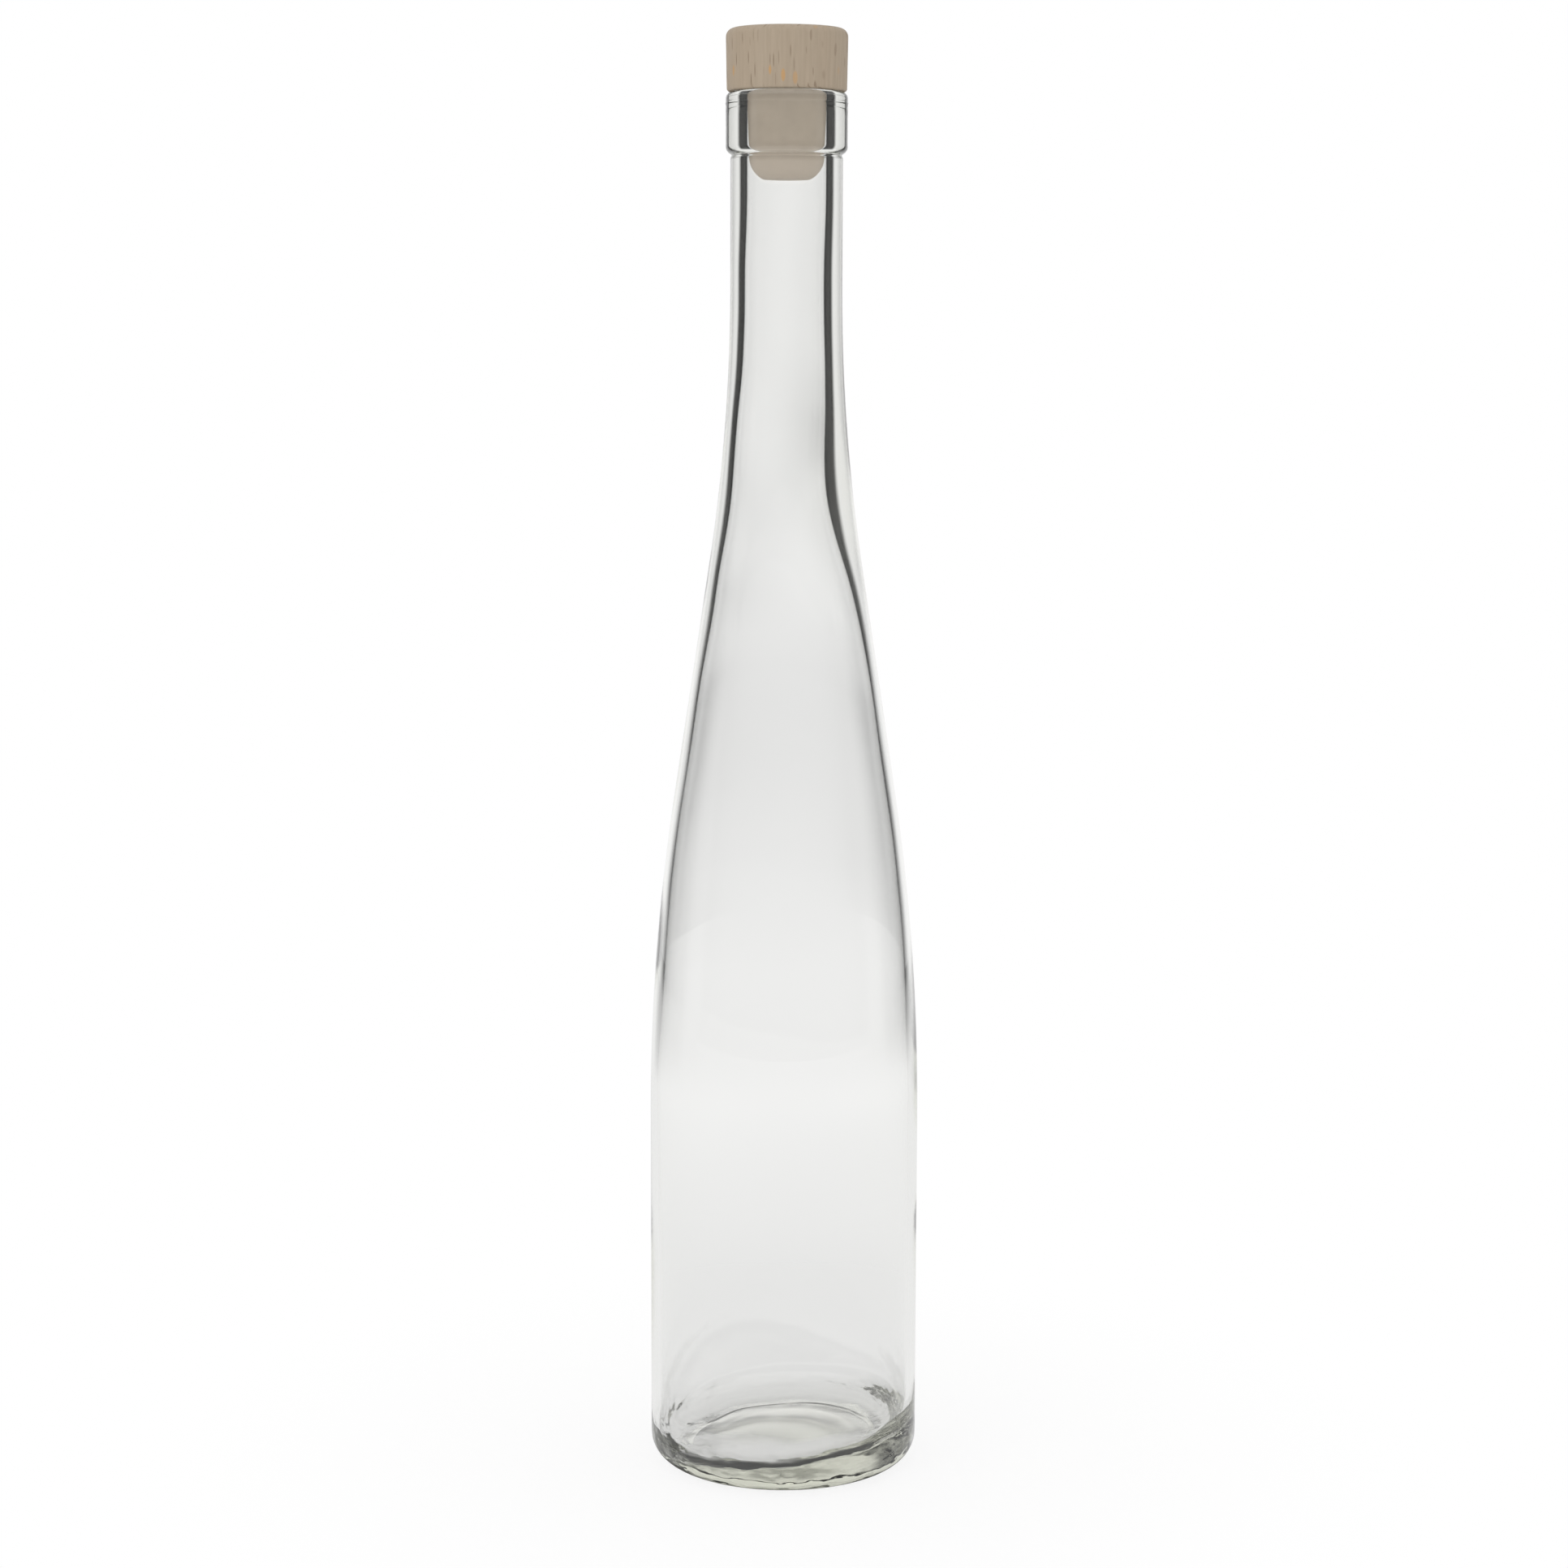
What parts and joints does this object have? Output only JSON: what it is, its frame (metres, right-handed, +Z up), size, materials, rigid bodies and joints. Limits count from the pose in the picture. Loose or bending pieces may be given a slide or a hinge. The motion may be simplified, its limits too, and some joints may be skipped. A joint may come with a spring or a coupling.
{
  "type": "glass bottle",
  "caption": "Slender round clear-glass bottle with a long tapered shoulder, a banded cork mouth and a push-in stopper with a wooden head.",
  "frame": {"origin": "centre of the ring that the bottle stands on, at table height", "axes": "+Z up along the bottle's axis, towards the stopper; X and Y are free, because the bottle is round"},
  "size_m": [0.0644, 0.0644, 0.3431],
  "materials": {
    "clear_glass": "blown and moulded clear soda-lime glass, fire-polished, with a faint green tint in thick places",
    "beech": "turned and sanded pale beech, unvarnished, with short dark ray flecks",
    "moulded_shank": "smooth matt moulded synthetic cork, greyish beige",
    "glue": "set glue, amber, hidden inside the head"
  },
  "bodies": {
    "bottle": {"bottle_glass": "clear_glass"},
    "stopper": {"stopper_head": "beech", "stopper_shank": "moulded_shank", "stopper_glue": "glue"}
  },
  "joints": [
    {"name": "stopper_lift", "type": "slide", "parent": "bottle", "child": "stopper", "axis": [0, 0, 1], "range_m": [0, 0.045]}
  ]
}
